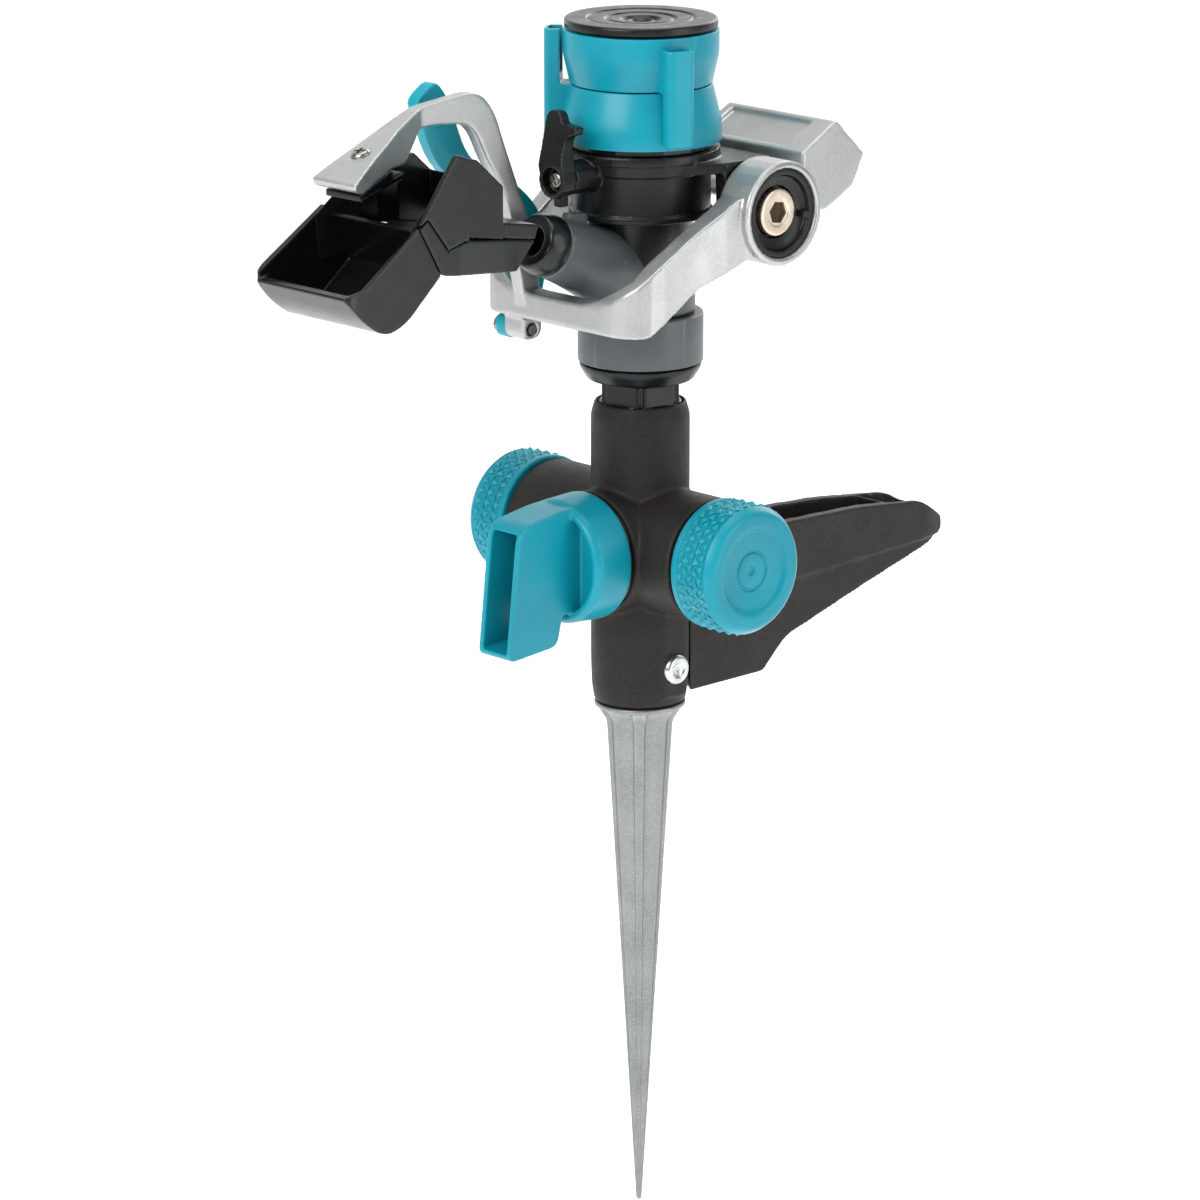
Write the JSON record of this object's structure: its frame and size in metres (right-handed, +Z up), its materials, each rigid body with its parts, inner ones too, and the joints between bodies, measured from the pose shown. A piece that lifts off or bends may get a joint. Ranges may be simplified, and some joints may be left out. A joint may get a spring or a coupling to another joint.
{
  "type": "impact sprinkler on a ground spike",
  "caption": "Garden impact sprinkler on a ground spike: swinging rocker with jet scoop and counterweight, two sector rings, tap body with screwed caps, wing valve and foot pedal.",
  "frame": {"origin": "on the main axis, in the plane of the spike flange's underside, where it meets the soil", "axes": "+Z up the main axis, away from the spike's point; +X along the through-flow arm to its shorter side; -Y the way the nozzle and the valve handle point"},
  "size_m": [0.1082, 0.2641, 0.3762],
  "materials": {
    "teal_plastic": "satin moulded",
    "grained_black": "matte grained",
    "gloss_black": "polished moulded",
    "grey_plastic": "satin moulded",
    "cast_zinc": "satin die-cast",
    "cast_aluminium": "fine blasted casting",
    "nickel": "nickel plated",
    "stainless": "bright",
    "rubber": "matte",
    "white_plastic": "natural moulded"
  },
  "bodies": {
    "base": {"ground_spike": "cast_aluminium", "cross_pin": "stainless", "tap_body": "grained_black", "foot_pedal": "grained_black", "arm_gasket_right": "rubber", "arm_gasket_left": "rubber", "valve_bonnet": "gloss_black", "inlet_adapter": "gloss_black", "socket_seal": "rubber", "inlet_filter": "white_plastic", "spindle": "stainless", "ring_hub": "gloss_black", "top_disc": "gloss_black", "thrust_washer": "white_plastic"},
    "right_cap": {"end_cap_right": "teal_plastic", "cap_seal_right": "rubber"},
    "left_cap": {"end_cap_left": "teal_plastic", "cap_seal_left": "rubber"},
    "valve": {"valve_knob": "teal_plastic", "valve_plug": "white_plastic", "valve_o_ring": "rubber", "valve_screw": "stainless"},
    "head": {"collar_nut": "grey_plastic", "riser_elbow": "grey_plastic", "riser_seal": "rubber", "nozzle_tip": "gloss_black", "drum_housing": "gloss_black", "spindle_bush": "white_plastic", "spindle_o_ring": "rubber", "pivot_screw_right": "nickel", "pivot_screw_left": "nickel", "trip_screw": "stainless"},
    "upper_ring": {"sector_ring_upper": "teal_plastic"},
    "lower_ring": {"sector_ring_lower": "teal_plastic"},
    "trip": {"trip_lever": "gloss_black"},
    "rocker": {"rocker_arm": "cast_zinc", "pivot_bush_right": "gloss_black", "pivot_bush_left": "gloss_black", "deflector_scoop": "gloss_black", "guide_upper": "gloss_black", "guide_lower": "gloss_black", "beak_screw": "stainless", "jet_lever_pin": "stainless"},
    "range_lever": {"jet_lever": "teal_plastic"}
  },
  "joints": [
    {"name": "head_spin", "type": "hinge", "parent": "base", "child": "head", "pos_m": [0, 0, 0.11], "axis": [0, 0, 1], "continuous": true},
    {"name": "upper_ring_turn", "type": "hinge", "parent": "base", "child": "upper_ring", "pos_m": [0, 0, 0.202], "axis": [0, 0, 1], "range_deg": [-40, 100]},
    {"name": "lower_ring_turn", "type": "hinge", "parent": "base", "child": "lower_ring", "pos_m": [0, 0, 0.185], "axis": [0, 0, 1], "range_deg": [-100, 40]},
    {"name": "right_cap_turn", "type": "hinge", "parent": "base", "child": "right_cap", "pos_m": [0.042, 0, 0.0514], "axis": [1, 0, 0], "continuous": true},
    {"name": "left_cap_turn", "type": "hinge", "parent": "base", "child": "left_cap", "pos_m": [-0.05, 0, 0.0514], "axis": [-1, 0, 0], "continuous": true},
    {"name": "valve_turn", "type": "hinge", "parent": "base", "child": "valve", "pos_m": [0, -0.03, 0.0514], "axis": [0, -1, 0], "range_deg": [0, 90]},
    {"name": "rocker_swing", "type": "hinge", "parent": "head", "child": "rocker", "pos_m": [0, 0.019, 0.157], "axis": [1, 0, 0], "range_deg": [0, 12]},
    {"name": "trip_flip", "type": "hinge", "parent": "head", "child": "trip", "pos_m": [0, -0.034, 0.1684], "axis": [0, -1, 0], "range_deg": [-12, 12]},
    {"name": "jet_lever_tilt", "type": "hinge", "parent": "rocker", "child": "range_lever", "pos_m": [-0.0249, -0.0315, 0.1202], "axis": [-1, 0, 0], "range_deg": [0, 10]}
  ]
}
